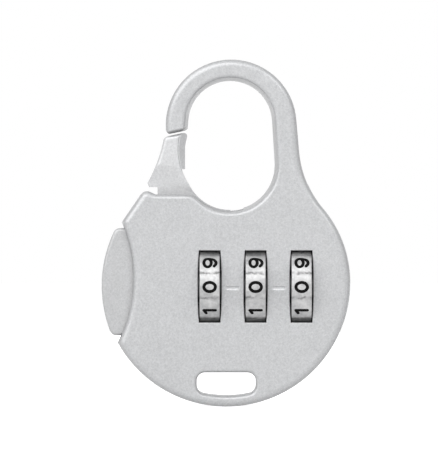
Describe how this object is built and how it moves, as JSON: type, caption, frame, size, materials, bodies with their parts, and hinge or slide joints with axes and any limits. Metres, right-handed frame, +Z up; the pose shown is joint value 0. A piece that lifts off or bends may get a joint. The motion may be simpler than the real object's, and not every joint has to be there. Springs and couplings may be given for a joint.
{
  "type": "combination luggage lock",
  "caption": "Round hook-top combination padlock for luggage with a swinging gate, a press pad, number dials and a strap slot.",
  "frame": {"origin": "under the middle of the whole lock, at the height of its lowest point", "axes": "+Z up through the hook, the front face with the dials looks along -Y, +X to the right seen from the front"},
  "size_m": [0.0467, 0.0166, 0.0651],
  "materials": {
    "shell_paint": "satin silver paint",
    "lever_paint": "satin silver paint",
    "screw_steel": "zinc plated",
    "dial_chrome": "nickel plated, black numbers",
    "sleeve_steel": "turned, blackened",
    "inner_steel": "stamped, zinc plated",
    "spring_steel": "oiled spring wire",
    "button_steel": "turned"
  },
  "bodies": {
    "case": {"front_shell": "shell_paint", "back_cover": "shell_paint", "cover_screws": "screw_steel", "lever_pin": "inner_steel", "spindle_plate": "inner_steel", "hub_plates": "inner_steel", "lever_spring": "spring_steel", "spindle_spring": "spring_steel", "reset_spring": "spring_steel", "click_spring": "spring_steel"},
    "lever": {"gate_lever": "lever_paint"},
    "spindle": {"spindle": "inner_steel"},
    "dial_left": {"dial_left": "dial_chrome"},
    "dial_centre": {"dial_centre": "dial_chrome"},
    "dial_right": {"dial_right": "dial_chrome"},
    "hub_left": {"hub_left": "sleeve_steel"},
    "hub_centre": {"hub_centre": "sleeve_steel"},
    "hub_right": {"hub_right": "sleeve_steel"},
    "resetter": {"reset_yoke": "inner_steel", "reset_button": "button_steel"}
  },
  "joints": [
    {"name": "gate_swing", "type": "hinge", "parent": "case", "child": "lever", "pos_m": [-0.0166, 0, 0.0134], "axis": [0, 1, 0], "range_deg": [0, 11], "stiffness_Nm_per_rad": 0.02, "springref_deg": -20.05, "deforming": ["lever_spring", "spindle_spring"]},
    {"name": "spindle_slide", "type": "slide", "parent": "case", "child": "spindle", "axis": [1, 0, 0], "range_m": [0, 0.0019]},
    {"name": "reset_press", "type": "slide", "parent": "case", "child": "resetter", "axis": [-1, 0, 0], "range_m": [0, 0.001], "stiffness_N_per_m": 200, "springref_m": -0.002, "deforming": ["reset_spring"]},
    {"name": "dial_left_turn", "type": "hinge", "parent": "case", "child": "dial_left", "pos_m": [-0.0031, -0.00068, 0.0225], "axis": [1, 0, 0], "continuous": true},
    {"name": "hub_left_shift", "type": "slide", "parent": "dial_left", "child": "hub_left", "axis": [-1, 0, 0], "range_m": [0, 0.001]},
    {"name": "dial_centre_turn", "type": "hinge", "parent": "case", "child": "dial_centre", "pos_m": [0.0055, -0.00068, 0.0225], "axis": [1, 0, 0], "continuous": true},
    {"name": "hub_centre_shift", "type": "slide", "parent": "dial_centre", "child": "hub_centre", "axis": [-1, 0, 0], "range_m": [0, 0.001]},
    {"name": "dial_right_turn", "type": "hinge", "parent": "case", "child": "dial_right", "pos_m": [0.0141, -0.00068, 0.0225], "axis": [1, 0, 0], "continuous": true},
    {"name": "hub_right_shift", "type": "slide", "parent": "dial_right", "child": "hub_right", "axis": [-1, 0, 0], "range_m": [0, 0.001]}
  ],
  "couplings": [
    {"joint": "spindle_slide", "follows": "gate_swing", "m_per_rad": 0.0091},
    {"joint": "hub_left_shift", "follows": "reset_press", "ratio": 1},
    {"joint": "hub_centre_shift", "follows": "reset_press", "ratio": 1},
    {"joint": "hub_right_shift", "follows": "reset_press", "ratio": 1}
  ]
}
